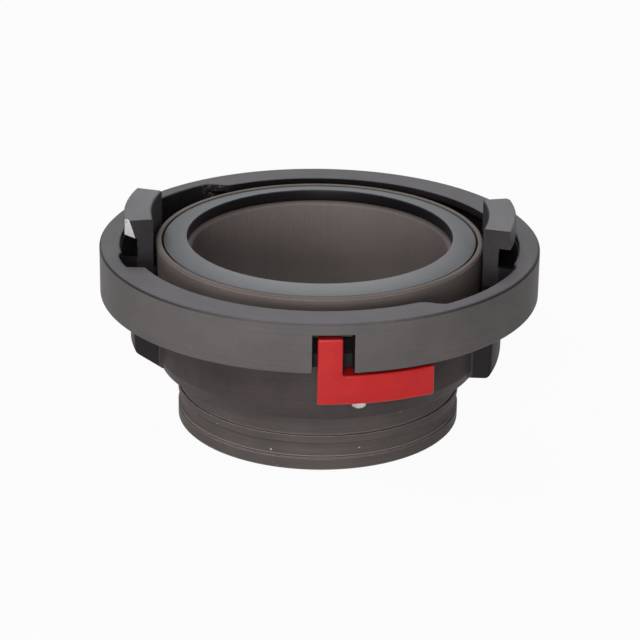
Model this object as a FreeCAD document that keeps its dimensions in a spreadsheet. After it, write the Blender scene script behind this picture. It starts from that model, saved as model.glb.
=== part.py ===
import FreeCAD, Part
import math
import os
from types import SimpleNamespace

import Sketcher
from FreeCAD import Placement, Rotation, Vector

# Storz coupling, 5 inch pattern, with a turning lock ring and a locking lever.
# Millimetres and degrees. The origin is the centre of the tailpiece's lower end, +Z runs up
# through the waterway, and the locking lever faces -Y.

SIZES = (
    # The coupling pattern
    ("lug_distance", 148, "across the inner faces of the two hooks"),
    ("face_height", 82.3, "front face of the lock ring above the tail's end"),
    ("ring_turn", -2.6, "how far the lock ring is turned from the hooks standing on X"),
    # Lock ring, band and floor
    ("race_gap", 3.6, "from the toes out to the inside of the band"),
    ("band_wall", 7.4, "thickness of the band"),
    ("band_depth", 22.2, "height of the band"),
    ("band_bevel", 1.0, "bevel round the band's top edge"),
    ("band_round", 0.8, "rounding of the band's lower edge"),
    ("lip_gap", 1.9, "from the hooks' stems out to the lip's inner edge"),
    ("lip_thick", 3.4, "thickness of the lip"),
    ("floor_thick", 5.7, "thickness of the floor under the race"),
    # Lock ring, skirt
    ("skirt_wall", 5.2, "wall round the snap ring's recess"),
    ("skirt_drop", 32.2, "skirt below the band"),
    ("skirt_taper_drop", 5.7, "height of the taper at the skirt's end"),
    ("skirt_taper_inset", 2.5, "how far the taper draws in"),
    ("relief_depth", 9.1, "recess for the snap ring, up from the skirt's end"),
    # Lock ring, hooks
    ("hook_span", 28.2, "angle of a hook"),
    ("hook_height", 14.6, "hook above the front face"),
    ("hook_stem", 7.0, "radial thickness of the hook's stem"),
    ("toe_reach", 5.0, "how far the toe stands out from the stem"),
    ("toe_thick", 8.8, "height of the toe"),
    ("pad_drop", 2.5, "pad under the toe below the front face"),
    ("pad_margin", 1.7, "from the toe out to the wall round the pad"),
    ("pad_swing", 4.0, "angle past a hook over which that wall runs out to the band"),
    ("edge_round", 0.9, "rounding of the openings' upper edges"),
    ("hook_bevel", 0.7, "bevel of the hook's upper inner edge"),
    ("toe_round", 0.8, "rounding of the toe's upper outer edge"),
    ("lead_in_top", 1.6, "lead-in at the toe's upper corner, radially"),
    ("lead_in_foot", 4.2, "lead-in at the toe's lower corner, radially"),
    ("lead_run_top", 2.2, "lead-in at the toe's upper corner, along the rim"),
    ("lead_run_foot", 6.0, "lead-in at the toe's lower corner, along the rim"),
    # Lock ring, openings of the lip
    ("entry_span", 37.2, "open stretch before a hook"),
    ("ramp_span", 7.1, "angle over which the lip runs in at that stretch's end"),
    ("ramp_round", 8.3, "rounding where the ramp meets the lip's inner edge"),
    ("ramp_bend", 42, "angle that this rounding turns through"),
    ("notch_span", 12.0, "open stretch behind a hook"),
    ("notch_slope", 2.1, "slanted end of the notch"),
    # Lock ring, spanner lugs
    ("lug_reach", 9.4, "how far the spanner lugs stand out from the skirt, at the band"),
    ("lug_draft", 0.4, "how far a lug's outside draws in towards its foot"),
    ("lug_shift", 1.25, "middle of the lugs' outside, off the waterway's axis"),
    ("lug_width", 55, "between the end faces of a spanner lug"),
    ("lug_drop", 29.8, "spanner lug below the band"),
    ("lug_scarf_rise", 9.5, "rise of the sloped underside at a lug's back end"),
    ("lug_scarf_inset", 15.6, "where that slope starts, in from the lug's outside"),
    ("lug_round", 2.2, "rounding of a lug's upright and lower edges"),
    ("lug_root_round", 1.2, "inner corner between a lug's end and the skirt"),
    # Lock ring, window and seats
    ("window_middle", -83.65, "middle of the lever's window, from the hook"),
    ("window_span", 10.5, "angle of the window"),
    ("window_top", 5.0, "window's upper edge below the front face"),
    ("seat_dia", 10, "spring seat in the skirt"),
    ("seat_depth", 1.2, "depth of the spring seat"),
    # Tailpiece
    ("tail_step", 3.05, "tail's outside in from the hub's"),
    ("tail_bevel", 0.6, "bevel at the tail's end"),
    ("bore_bevel", 1.5, "bevel in the mouth of the bore"),
    ("end_band", 5.5, "height of the end band"),
    ("score_width", 1.2, "fine groove above the end band"),
    ("score_depth", 0.75, "depth of that groove"),
    ("waist_height", 6.6, "height of the waist"),
    ("waist_depth", 1.5, "depth of the waist"),
    ("upper_land", 2.9, "land above the waist"),
    ("undercut_width", 0.7, "fine groove above the land"),
    ("undercut_depth", 0.7, "depth of that groove"),
    ("neck_inset", 0.55, "neck's outside in from the tail's"),
    ("collar_step", 6.2, "collar's outside out from the hub that the lock ring turns on"),
    ("hub_land", 1.8, "hub below the snap ring's groove"),
    ("hub_taper", 3.5, "height of the taper from the neck to the hub"),
    ("collar_gap", 1.8, "from the collar that the lock ring pulls on out to the hooks"),
    ("rim_rise", 1.2, "collar's rim above the lock ring's front face"),
    ("rim_bevel", 0.8, "bevel of the rim"),
    ("rim_wall", 2.4, "wall between the gasket's groove and the rim's outside"),
    ("groove_width", 8.8, "width of the gasket's groove"),
    ("groove_depth", 10.2, "gasket's groove below the rim"),
    ("inner_lip", 4.5, "wall between the bore and the gasket's groove"),
    ("inner_lip_drop", 3.7, "top of that wall below the rim"),
    ("inner_lip_round", 1.5, "rounding of that wall's inner edge"),
    # Pressure gasket
    ("gasket_gap", 0.2, "play of the gasket in its groove"),
    ("gasket_lap", 2.4, "how far the gasket laps over the inner wall"),
    ("gasket_crown", 2.8, "gasket's inner edge above the front face"),
    ("gasket_shoulder", 0.9, "gasket's outer edge above the front face"),
    ("gasket_bevel", 0.6, "bevel at the gasket's outer edge"),
    # Snap ring
    ("snap_wire", 4.0, "wire of the snap ring"),
    ("snap_bite", 2.2, "depth of the snap ring's groove in the hub"),
    ("snap_gap", 12, "opening between the snap ring's ends"),
    # Locking lever and its pin and spring
    ("lever_inset", 0.3, "lever's face behind the band's face"),
    ("tab_side_gap", 2.3, "play between the tab and the window's far side"),
    ("tab_span", 6.25, "angle of the tab"),
    ("tab_top_gap", 2.0, "play between the tab and the window's upper edge"),
    ("arm_gap", 1.2, "play between the band and the arm"),
    ("arm_height", 12.9, "height of the arm"),
    ("arm_span", 30.3, "angle of the arm, the tab included"),
    ("nose_reach", 6.0, "how far the nose stands in from the plate"),
    ("nose_height", 8.3, "height of the nose"),
    ("nose_drop", 1.0, "nose below the tab's top"),
    ("lever_round", 0.8, "rounding of the lever's corners"),
    ("crook_round", 1.0, "inner corner between tab and arm"),
    ("pin_dia", 6.1, "lever pin"),
    ("pin_inset", 2.0, "pin's middle in from the inside of the lever's plate"),
    ("pin_from_window", 2.2, "angle from the window's near side to the pin"),
    ("pin_tail", 4.6, "pin below the arm"),
    ("pin_sink", 0.5, "pin's upper end below the floor's top"),
    ("pin_bevel", 0.5, "bevel of the pin's ends"),
    ("knuckle_wall", 2.4, "wall of the lever's knuckle round the pin"),
    ("spring_from_pin", 14.2, "angle from the pin to the spring"),
    ("spring_dia", 8.0, "outside of the spring"),
    ("spring_wire", 1.1, "wire of the spring"),
    ("spring_turns", 7, "turns of the spring"),
    ("spring_pocket_dia", 9.0, "spring's pocket in the arm"),
    ("spring_pocket_depth", 3.2, "depth of that pocket"),
    # Clearances between pieces
    ("running_gap", 0.3, "lock ring to tailpiece, all round"),
    ("snap_play", 0.2, "snap ring to its groove and shoulder"),
    ("stop_gap", 0.4, "lever's plate to the floor's rim at rest"),
    ("pivot_gap", 0.08, "pin to the lever's bore, radially"),
    ("spring_gap", 0.05, "spring's ends to their seats"),
)

STEP_FOLDER = "parts"
CUT_MARGIN = 2.0    # how far a cutting outline reaches past the material that it removes
ROOT_SINK = 1.0     # how far an added form reaches into the material that carries it
SNUG = 0.02         # how closely an edge must lie to a place to be the one that is meant
LOOSE = 1.0         # the same on drafted faces, where an edge's middle lies less exactly
LOOSE_ANGLE = 0.2   # the same as an angle

doc = FreeCAD.newDocument("storz_coupling")
sheet = doc.addObject("Spreadsheet::Sheet", "sizes")


class Size:
    """A size as its present number and as the sheet formula that it comes from."""

    def __init__(self, value, formula):
        self.value = float(value)
        self.formula = formula

    def __add__(self, other):
        other = as_size(other)
        return Size(self.value + other.value, f"({self.formula} + {other.formula})")

    def __sub__(self, other):
        other = as_size(other)
        return Size(self.value - other.value, f"({self.formula} - {other.formula})")

    def __mul__(self, other):
        other = as_size(other)
        return Size(self.value * other.value, f"({self.formula} * {other.formula})")

    def __truediv__(self, other):
        other = as_size(other)
        return Size(self.value / other.value, f"({self.formula} / {other.formula})")

    def __neg__(self):
        return Size(-self.value, f"(0 - {self.formula})")


def as_size(item):
    """A plain number as a Size."""
    if isinstance(item, Size):
        return item
    return Size(item, f"({item})")


def cosine(angle):
    return Size(math.cos(math.radians(angle.value)), f"cos({angle.formula})")


def sine(angle):
    return Size(math.sin(math.radians(angle.value)), f"sin({angle.formula})")


def root(item):
    return Size(math.sqrt(item.value), f"sqrt({item.formula})")


def arc_angle(length, radius):
    """The angle that a length takes up along a circle."""
    return length / radius * (180 / math.pi)


def polar(radius, angle):
    return (radius * cosine(angle), radius * sine(angle))


def fill_sheet():
    """Write every size to the sheet under its alias and return them by name."""
    named = SimpleNamespace()
    for row, (alias, value, meaning) in enumerate(SIZES, start=1):
        sheet.set(f"A{row}", meaning)
        sheet.set(f"B{row}", str(value))
        sheet.setAlias(f"B{row}", alias)
        setattr(named, alias, Size(value, f"sizes.{alias}"))
    doc.recompute()
    return named


s = fill_sheet()

# Levels, upwards from the tail's end
FACE = s.face_height
LIP_UNDER = FACE - s.lip_thick
BAND_FOOT = FACE - s.band_depth
FLOOR_TOP = BAND_FOOT + s.floor_thick
SKIRT_FOOT = BAND_FOOT - s.skirt_drop
SHOULDER = SKIRT_FOOT + s.relief_depth
LUG_FOOT = BAND_FOOT - s.lug_drop
SNAP_LEVEL = SHOULDER - s.snap_play - s.snap_wire / 2
HOOK_TOP = FACE + s.hook_height
TOE_UNDER = HOOK_TOP - s.toe_thick
RIM_TOP = FACE + s.rim_rise
GROOVE_FLOOR = RIM_TOP - s.groove_depth
INNER_LIP_TOP = RIM_TOP - s.inner_lip_drop
WINDOW_TOP = FACE - s.window_top
TAB_TOP = WINDOW_TOP - s.tab_top_gap
ARM_TOP = BAND_FOOT - s.arm_gap
ARM_FOOT = ARM_TOP - s.arm_height
ARM_MIDDLE = ARM_TOP - s.arm_height / 2

# Radii
HOOK_R = s.lug_distance / 2
STEM_R = HOOK_R + s.hook_stem
TOE_R = STEM_R + s.toe_reach
PAD_R = TOE_R + s.pad_margin
LIP_R = STEM_R + s.lip_gap
RACE_R = TOE_R + s.race_gap
BAND_R = RACE_R + s.band_wall
COLLAR_R = HOOK_R - s.collar_gap
GROOVE_OUT_R = COLLAR_R - s.rim_wall
GROOVE_IN_R = GROOVE_OUT_R - s.groove_width
BORE_R = GROOVE_IN_R - s.inner_lip
HUB_R = COLLAR_R - s.collar_step
TAIL_R = HUB_R - s.tail_step
NECK_R = TAIL_R - s.neck_inset
RING_BORE_R = HUB_R + s.running_gap
SNAP_FLOOR_R = HUB_R - s.snap_bite
SNAP_MIDDLE_R = SNAP_FLOOR_R + s.snap_play + s.snap_wire / 2
RELIEF_R = SNAP_MIDDLE_R + s.snap_wire / 2 + s.running_gap
SKIRT_R = RELIEF_R + s.skirt_wall
SKIRT_END_R = SKIRT_R - s.skirt_taper_inset
LUG_R = SKIRT_R + s.lug_reach
LUG_FOOT_R = LUG_R - s.lug_draft
PLATE_IN_R = RACE_R + s.stop_gap
PLATE_OUT_R = BAND_R - s.lever_inset
PIN_R = s.pin_dia / 2
PIN_HOLE_R = PIN_R + s.pivot_gap
KNUCKLE_R = PIN_HOLE_R + s.knuckle_wall
SEAT_FLOOR_R = SKIRT_R - s.seat_depth
POCKET_FLOOR_R = PLATE_IN_R + s.spring_pocket_depth

# Angles about the waterway's axis, from the middle of the first hook
HOOK_END = s.hook_span / 2
WINDOW_NEAR = s.window_middle + s.window_span / 2
WINDOW_FAR = s.window_middle - s.window_span / 2
PIN_ANGLE = WINDOW_NEAR + s.pin_from_window
TAB_FAR = WINDOW_FAR + arc_angle(s.tab_side_gap, BAND_R)
TAB_NEAR = TAB_FAR + s.tab_span
ARM_END = TAB_FAR + s.arm_span
SPRING_ANGLE = PIN_ANGLE + s.spring_from_pin

PIN_PLACE = polar(PLATE_IN_R - s.pin_inset, PIN_ANGLE)
ZERO = Size(0, "0")


class Arc:
    """A round stretch between the corner before it and the corner after it."""

    def __init__(self, centre, clockwise=False):
        self.centre = centre
        self.clockwise = clockwise


def bind(thing, name, size):
    thing.setExpression(name, as_size(size).formula)


def origin_feature(body, role):
    for feature in body.Origin.OriginFeatures:
        if feature.Role == role:
            return feature
    raise ValueError(role)


def new_body(name):
    return doc.addObject("PartDesign::Body", name)


def new_sketch(body, name, role, level=None):
    """A sketch on one of the body's own planes, moved along its normal where a level is given."""
    sketch = body.newObject("Sketcher::SketchObject", name)
    sketch.AttachmentSupport = [(origin_feature(body, role), "")]
    sketch.MapMode = "FlatFace"
    if level is not None:
        bind(sketch, "AttachmentOffset.Base.z", level)
    return sketch


def spot(corner):
    return Vector(corner[0].value, corner[1].value, 0)


def edge_between(start, end, arc):
    """The edge from one corner to the next, with the numbers of its two end points."""
    if arc is None:
        return Part.LineSegment(start, end), 1, 2
    centre = spot(arc.centre)
    circle = Part.Circle(centre, Vector(0, 0, 1), (start - centre).Length)
    from_angle = math.atan2(start.y - centre.y, start.x - centre.x)
    to_angle = math.atan2(end.y - centre.y, end.x - centre.x)
    if arc.clockwise:
        return Part.ArcOfCircle(circle, to_angle, from_angle), 2, 1
    return Part.ArcOfCircle(circle, from_angle, to_angle), 1, 2


def constrain(sketch, rules):
    """Add the constraints, each tied to its formula where it has one."""
    first = sketch.ConstraintCount
    sketch.addConstraint([rule for rule, size in rules])
    for index, (rule, size) in enumerate(rules, start=first):
        if size is not None:
            sketch.setExpression(f"Constraints[{index}]", size.formula)


def draw(sketch, path):
    """Close an outline through its corners, straight but where an Arc stands between two."""
    corners = [step for step in path if not isinstance(step, Arc)]
    arcs = {}
    passed = 0
    for step in path:
        if isinstance(step, Arc):
            arcs[passed - 1] = step
        else:
            passed += 1
    rules = []
    ends = []
    for index, corner in enumerate(corners):
        start = spot(corner)
        end = spot(corners[(index + 1) % len(corners)])
        arc = arcs.get(index)
        edge, start_point, end_point = edge_between(start, end, arc)
        number = sketch.addGeometry(edge, False)
        ends.append((number, start_point, end_point))
        rules.append((Sketcher.Constraint("DistanceX", number, start_point, start.x), corner[0]))
        rules.append((Sketcher.Constraint("DistanceY", number, start_point, start.y), corner[1]))
        if arc is None:
            continue
        if abs(end.x - start.x) > abs(end.y - start.y):
            rule = Sketcher.Constraint("DistanceY", number, 3, arc.centre[1].value)
            rules.append((rule, arc.centre[1]))
        else:
            rule = Sketcher.Constraint("DistanceX", number, 3, arc.centre[0].value)
            rules.append((rule, arc.centre[0]))
    for here, after in zip(ends, ends[1:] + ends[:1]):
        rules.append((Sketcher.Constraint("Coincident", here[0], here[2], after[0], after[1]), None))
    constrain(sketch, rules)


def draw_circle(sketch, centre, radius):
    middle = spot(centre)
    number = sketch.addGeometry(Part.Circle(middle, Vector(0, 0, 1), radius.value), False)
    constrain(sketch, [
        (Sketcher.Constraint("DistanceX", number, 3, middle.x), centre[0]),
        (Sketcher.Constraint("DistanceY", number, 3, middle.y), centre[1]),
        (Sketcher.Constraint("Radius", number, radius.value), radius),
    ])


def sector(inner, outer, start, end):
    """The outline of a piece of a flat ring between two angles."""
    middle = (ZERO, ZERO)
    return [
        polar(outer, start), Arc(middle), polar(outer, end),
        polar(inner, end), Arc(middle, clockwise=True), polar(inner, start),
    ]


def settle(body, feature, before, grows):
    """Recompute and see that the feature added or removed material as it should."""
    doc.recompute()
    change = feature.Shape.Volume - before
    if grows != (change > 0) or abs(change) < 1e-3:
        raise RuntimeError(f"{body.Name}.{feature.Name} changed the volume by {change:.3f}")
    return feature


def volume_of(body):
    return 0.0 if body.Tip is None or body.Shape.isNull() else body.Shape.Volume


def extrude(body, name, kind, sketch, length, reverse=False):
    """A Pad or a Pocket of a sketch."""
    doc.recompute()
    before = volume_of(body)
    feature = body.newObject(f"PartDesign::{kind}", name)
    feature.Profile = sketch
    feature.Reversed = reverse
    bind(feature, "Length", length)
    return settle(body, feature, before, kind == "Pad")


def revolve(body, name, kind, sketch, angle=None):
    """A Revolution or Groove about the upright axis, whole or centred on its sketch."""
    doc.recompute()
    before = volume_of(body)
    feature = body.newObject(f"PartDesign::{kind}", name)
    feature.Profile = sketch
    feature.ReferenceAxis = (sketch, ["V_Axis"])
    feature.Angle = 360
    if angle is not None:
        feature.Midplane = True
        bind(feature, "Angle", angle)
    return settle(body, feature, before, kind == "Revolution")


def loft(body, name, kind, sections):
    """An AdditiveLoft or SubtractiveLoft through its sections."""
    doc.recompute()
    before = volume_of(body)
    feature = body.newObject(f"PartDesign::{kind}", name)
    feature.Profile = sections[0]
    feature.Sections = sections[1:]
    feature.Ruled = True
    return settle(body, feature, before, kind == "AdditiveLoft")


def repeat_opposite(body, name, originals, grows):
    """Repeat features half a turn round, as the second side of the coupling."""
    doc.recompute()
    before = volume_of(body)
    pattern = body.newObject("PartDesign::PolarPattern", name)
    pattern.Originals = originals
    pattern.Axis = (origin_feature(body, "Z_Axis"), [""])
    pattern.Angle = 360
    pattern.Occurrences = 2
    body.Tip = pattern
    return settle(body, pattern, before, grows)


def edges_where(shape, test):
    """Names of the edges whose middle point and length pass a test."""
    names = []
    for number, edge in enumerate(shape.Edges, start=1):
        middle = edge.valueAt((edge.FirstParameter + edge.LastParameter) / 2)
        if test(edge, middle):
            names.append(f"Edge{number}")
    return names


def soften(body, name, kind, test, size):
    """A Fillet or Chamfer of the edges that pass a test."""
    doc.recompute()
    before = volume_of(body)
    base = body.Tip
    names = edges_where(base.Shape, test)
    if not names:
        raise RuntimeError(f"{body.Name}.{name} found no edge")
    feature = body.newObject(f"PartDesign::{kind}", name)
    feature.Base = (base, names)
    bind(feature, "Radius" if kind == "Fillet" else "Size", size)
    doc.recompute()
    if abs(feature.Shape.Volume - before) < 1e-4:
        raise RuntimeError(f"{body.Name}.{name} changed nothing")
    return feature


def near(value, size, slack=SNUG):
    return abs(value - size.value) < slack


def radius_of(point):
    return math.hypot(point.x, point.y)


def angle_of(point):
    return math.degrees(math.atan2(point.y, point.x))


def turn_with_ring(body):
    """Turn a piece that is drawn with the hooks on X to the ring's place."""
    turned = f"placement(vector(0; 0; 0); rotation(vector(0; 0; 1); {s.ring_turn.formula}))"
    body.setExpression("Placement", turned)


def make_tailpiece():
    """The turned inner piece: end band, waist, neck, hub, collar and gasket groove."""
    body = new_body("tailpiece")
    score_top = s.end_band + s.score_width
    waist_top = score_top + s.waist_height
    land_top = waist_top + s.upper_land
    undercut_top = land_top + s.undercut_width
    snap_foot = SNAP_LEVEL - s.snap_wire / 2 - s.snap_play
    hub_foot = snap_foot - s.hub_land
    collar_foot = FLOOR_TOP + s.running_gap
    half_chord = s.waist_height / 2
    waist_r = half_chord * half_chord / (s.waist_depth * 2) + s.waist_depth / 2
    waist_middle = (TAIL_R - s.waist_depth + waist_r, score_top + half_chord)
    round_middle = (BORE_R + s.inner_lip_round, INNER_LIP_TOP - s.inner_lip_round)
    profile = new_sketch(body, "tail_profile", "XZ_Plane")
    draw(profile, [
        (BORE_R + s.bore_bevel, ZERO),
        (TAIL_R - s.tail_bevel, ZERO),
        (TAIL_R, s.tail_bevel),
        (TAIL_R, s.end_band),
        (TAIL_R - s.score_depth, s.end_band),
        (TAIL_R - s.score_depth, score_top),
        (TAIL_R, score_top), Arc(waist_middle, clockwise=True),
        (TAIL_R, waist_top),
        (TAIL_R, land_top),
        (NECK_R - s.undercut_depth, land_top),
        (NECK_R - s.undercut_depth, undercut_top),
        (NECK_R, undercut_top),
        (NECK_R, hub_foot - s.hub_taper),
        (HUB_R, hub_foot),
        (HUB_R, snap_foot),
        (SNAP_FLOOR_R, snap_foot),
        (SNAP_FLOOR_R, SHOULDER),
        (HUB_R, SHOULDER),
        (HUB_R, collar_foot),
        (COLLAR_R, collar_foot),
        (COLLAR_R, RIM_TOP - s.rim_bevel),
        (COLLAR_R - s.rim_bevel, RIM_TOP),
        (GROOVE_OUT_R, RIM_TOP),
        (GROOVE_OUT_R, GROOVE_FLOOR),
        (GROOVE_IN_R, GROOVE_FLOOR),
        (GROOVE_IN_R, INNER_LIP_TOP),
        (BORE_R + s.inner_lip_round, INNER_LIP_TOP), Arc(round_middle),
        (BORE_R, INNER_LIP_TOP - s.inner_lip_round),
        (BORE_R, s.bore_bevel),
    ])
    revolve(body, "tail_turned", "Revolution", profile)
    return body


def make_pressure_gasket():
    """The rubber ring in the face, with a sloped crown and a lap over the inner wall."""
    body = new_body("pressure_gasket")
    outer_r = GROOVE_OUT_R - s.gasket_gap
    wall_r = GROOVE_IN_R + s.gasket_gap
    lap_r = GROOVE_IN_R - s.gasket_lap
    shoulder = FACE + s.gasket_shoulder
    profile = new_sketch(body, "gasket_profile", "XZ_Plane")
    draw(profile, [
        (wall_r, GROOVE_FLOOR),
        (outer_r, GROOVE_FLOOR),
        (outer_r, shoulder - s.gasket_bevel),
        (outer_r - s.gasket_bevel, shoulder),
        (lap_r, FACE + s.gasket_crown),
        (lap_r, INNER_LIP_TOP),
        (wall_r, INNER_LIP_TOP),
    ])
    revolve(body, "gasket_moulded", "Revolution", profile)
    return body


def make_snap_ring():
    """The split ring of round wire that holds the lock ring on the hub."""
    body = new_body("snap_ring")
    section = new_sketch(body, "snap_section", "XZ_Plane")
    draw_circle(section, (SNAP_MIDDLE_R, SNAP_LEVEL), s.snap_wire / 2)
    bent = Size(360, "360") - arc_angle(s.snap_gap, SNAP_MIDDLE_R)
    revolve(body, "snap_bent", "Revolution", section, bent)
    return body


def open_lip(body):
    """Take the lip away on both sides of a hook, where the other coupling's hooks enter."""
    outline = new_sketch(body, "lip_opening_plan", "XY_Plane", FACE)
    middle = (ZERO, ZERO)
    entry_corner = -HOOK_END - s.entry_span
    ramp_end = entry_corner - s.ramp_span
    notch_corner = HOOK_END + s.notch_span
    notch_end = notch_corner + s.notch_slope
    inside_r = LIP_R - CUT_MARGIN
    bend_middle = polar(LIP_R + s.ramp_round, ramp_end)
    from_bend = polar(s.ramp_round, ramp_end + 180 - s.ramp_bend)
    draw(outline, [
        polar(RACE_R, entry_corner), Arc(middle),
        polar(RACE_R, notch_corner),
        polar(LIP_R, notch_end),
        polar(inside_r, notch_end), Arc(middle, clockwise=True),
        polar(inside_r, ramp_end),
        polar(LIP_R, ramp_end), Arc(bend_middle, clockwise=True),
        (bend_middle[0] + from_bend[0], bend_middle[1] + from_bend[1]),
    ])
    return extrude(body, "lip_opening", "Pocket", outline, s.lip_thick)


def add_hook(body):
    """A hook: stem, overhanging toe and the pad between the stem and the band."""
    section = new_sketch(body, "hook_section", "XZ_Plane")
    pad_top = FACE - s.pad_drop
    foot = FLOOR_TOP - ROOT_SINK
    outer = RACE_R + ROOT_SINK
    draw(section, [
        (HOOK_R, foot),
        (outer, foot),
        (outer, pad_top),
        (STEM_R, pad_top),
        (STEM_R, TOE_UNDER),
        (TOE_R, TOE_UNDER),
        (TOE_R, HOOK_TOP - s.toe_round),
        Arc((TOE_R - s.toe_round, HOOK_TOP - s.toe_round)),
        (TOE_R - s.toe_round, HOOK_TOP),
        (HOOK_R + s.hook_bevel, HOOK_TOP),
        (HOOK_R, HOOK_TOP - s.hook_bevel),
    ])
    return revolve(body, "hook", "Revolution", section, s.hook_span)


def add_pad_wall(body):
    """The wall round the pad, thicker than the band beside it and run out to it at both ends."""
    outline = new_sketch(body, "pad_wall_plan", "XY_Plane", FACE)
    middle = (ZERO, ZERO)
    end = HOOK_END + s.pad_swing
    outer = RACE_R + ROOT_SINK
    across = PAD_R * sine(s.pad_swing)
    inward = RACE_R - PAD_R * cosine(s.pad_swing)
    swing_r = (across * across + inward * inward) / (inward * 2)
    draw(outline, [
        polar(outer, -end), Arc(middle),
        polar(outer, end),
        polar(RACE_R, end), Arc(polar(RACE_R - swing_r, end), clockwise=True),
        polar(PAD_R, HOOK_END), Arc(middle, clockwise=True),
        polar(PAD_R, -HOOK_END), Arc(polar(RACE_R - swing_r, -end), clockwise=True),
        polar(RACE_R, -end),
    ])
    return extrude(body, "pad_wall", "Pad", outline, FACE - FLOOR_TOP + ROOT_SINK, reverse=True)


def lead_in_section(body, name, level, radial, run):
    """The triangle that the lead-in cuts off the toe's corner at one level."""
    section = new_sketch(body, name, "XY_Plane", level)
    past = HOOK_END + arc_angle(radial, TOE_R)
    draw(section, [
        polar(TOE_R - radial, HOOK_END),
        polar(TOE_R + radial, past),
        polar(TOE_R, HOOK_END - arc_angle(run, TOE_R)),
    ])
    return section


def cut_lead_in(body):
    """The slanted lead-in on the corner of a toe that meets the other coupling first."""
    top = lead_in_section(body, "lead_in_top_plan", HOOK_TOP, s.lead_in_top, s.lead_run_top)
    foot = lead_in_section(body, "lead_in_foot_plan", TOE_UNDER, s.lead_in_foot, s.lead_run_foot)
    return loft(body, "lead_in", "SubtractiveLoft", [top, foot])


def lug_section(body, name, place, rise):
    """The upright section of a spanner lug at one end, with its underside raised by a scarf."""
    section = new_sketch(body, name, "XZ_Plane", place)
    inner = SKIRT_END_R - ROOT_SINK
    spare = s.lug_shift + CUT_MARGIN
    outer = LUG_R + spare
    root_x = root(inner * inner - s.lug_width * s.lug_width / 4)
    steepness = rise / s.lug_scarf_inset
    draw(section, [
        (root_x, BAND_FOOT + ROOT_SINK),
        (outer, BAND_FOOT + ROOT_SINK),
        (outer, LUG_FOOT + steepness * (s.lug_scarf_inset + spare)),
        (LUG_R - s.lug_scarf_inset, LUG_FOOT),
        (root_x, LUG_FOOT),
    ])
    return section


def add_lug(body):
    """A wide spanner lug under a hook, between two parallel end faces."""
    half = s.lug_width / 2
    front = lug_section(body, "lug_front_section", half, ZERO)
    back = lug_section(body, "lug_back_section", -half, s.lug_scarf_rise)
    return loft(body, "lug", "AdditiveLoft", [front, back])


def trim_lugs(body):
    """Turn the outside of the lugs down to their drafted round, a little off the middle."""
    section = new_sketch(body, "lug_trim_section", "XZ_Plane")
    bind(section, "AttachmentOffset.Base.x", ZERO - s.lug_shift)
    draw(section, [
        (LUG_FOOT_R, LUG_FOOT),
        (LUG_FOOT_R, LUG_FOOT - CUT_MARGIN),
        (BAND_R, LUG_FOOT - CUT_MARGIN),
        (BAND_R, BAND_FOOT),
        (LUG_R, BAND_FOOT),
    ])
    return revolve(body, "lug_trim", "Groove", section)


def bore_ring(body):
    """Bore the casting for the hub, with the wider recess for the snap ring below."""
    section = new_sketch(body, "ring_bore_section", "XZ_Plane")
    inside_r = HUB_R / 2
    foot = SKIRT_FOOT - CUT_MARGIN
    top = FLOOR_TOP + CUT_MARGIN
    draw(section, [
        (inside_r, foot),
        (RELIEF_R, foot),
        (RELIEF_R, SHOULDER),
        (RING_BORE_R, SHOULDER),
        (RING_BORE_R, top),
        (inside_r, top),
    ])
    return revolve(body, "ring_bore", "Groove", section)


def round_lugs(body):
    """Round the upright edges of the lugs, their lower edge and the band's lower edge."""
    half = s.lug_width / 2
    outside = (LUG_R + LUG_FOOT_R) / 2

    def at_lug_end(edge, middle):
        upright = edge.BoundBox.ZLength > s.lug_drop.value / 3
        return upright and near(abs(middle.y), half) and middle.z < BAND_FOOT.value

    def root_corner(edge, middle):
        return at_lug_end(edge, middle) and near(radius_of(middle), SKIRT_R)

    def outer(edge, middle):
        lower = edge.BoundBox.YLength > half.value / 2 and middle.z < BAND_FOOT.value - LOOSE
        from_lug_middle = math.hypot(middle.x + s.lug_shift.value, middle.y)
        on_round = near(from_lug_middle, outside, LOOSE)
        return on_round and (lower or at_lug_end(edge, middle))

    def band_foot(edge, middle):
        return near(middle.z, BAND_FOOT) and near(radius_of(middle), BAND_R)

    soften(body, "lug_roots", "Fillet", root_corner, s.lug_root_round)
    soften(body, "lug_corners", "Fillet", outer, s.lug_round)
    soften(body, "band_foot_edge", "Fillet", band_foot, s.band_round)


def round_openings(body):
    """Round the upper edges of the openings, out at the band and round the pads."""
    def upper(edge, middle):
        inside = PAD_R.value - LOOSE < radius_of(middle) < RACE_R.value + LOOSE
        return near(middle.z, FACE) and inside

    soften(body, "opening_edges", "Fillet", upper, s.edge_round)


def cut_window(body):
    """The window for the lever's tab, through the band and open at its foot."""
    outline = new_sketch(body, "window_plan", "XY_Plane", WINDOW_TOP)
    draw(outline, sector(RACE_R, BAND_R + CUT_MARGIN, WINDOW_FAR, WINDOW_NEAR))
    return extrude(body, "window", "Pocket", outline, s.band_depth - s.window_top + CUT_MARGIN)


def radial_sketch(body, name, radius, angle):
    """A sketch square to a radius, facing outwards, at a distance from the axis."""
    sketch = new_sketch(body, name, "XZ_Plane")
    turn = angle + 90
    sketch.AttachmentOffset = Placement(Vector(), Rotation(Vector(0, 1, 0), turn.value))
    bind(sketch, "AttachmentOffset.Rotation.Angle", turn)
    bind(sketch, "AttachmentOffset.Base.x", radius * sine(turn))
    bind(sketch, "AttachmentOffset.Base.z", radius * cosine(turn))
    return sketch


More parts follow.
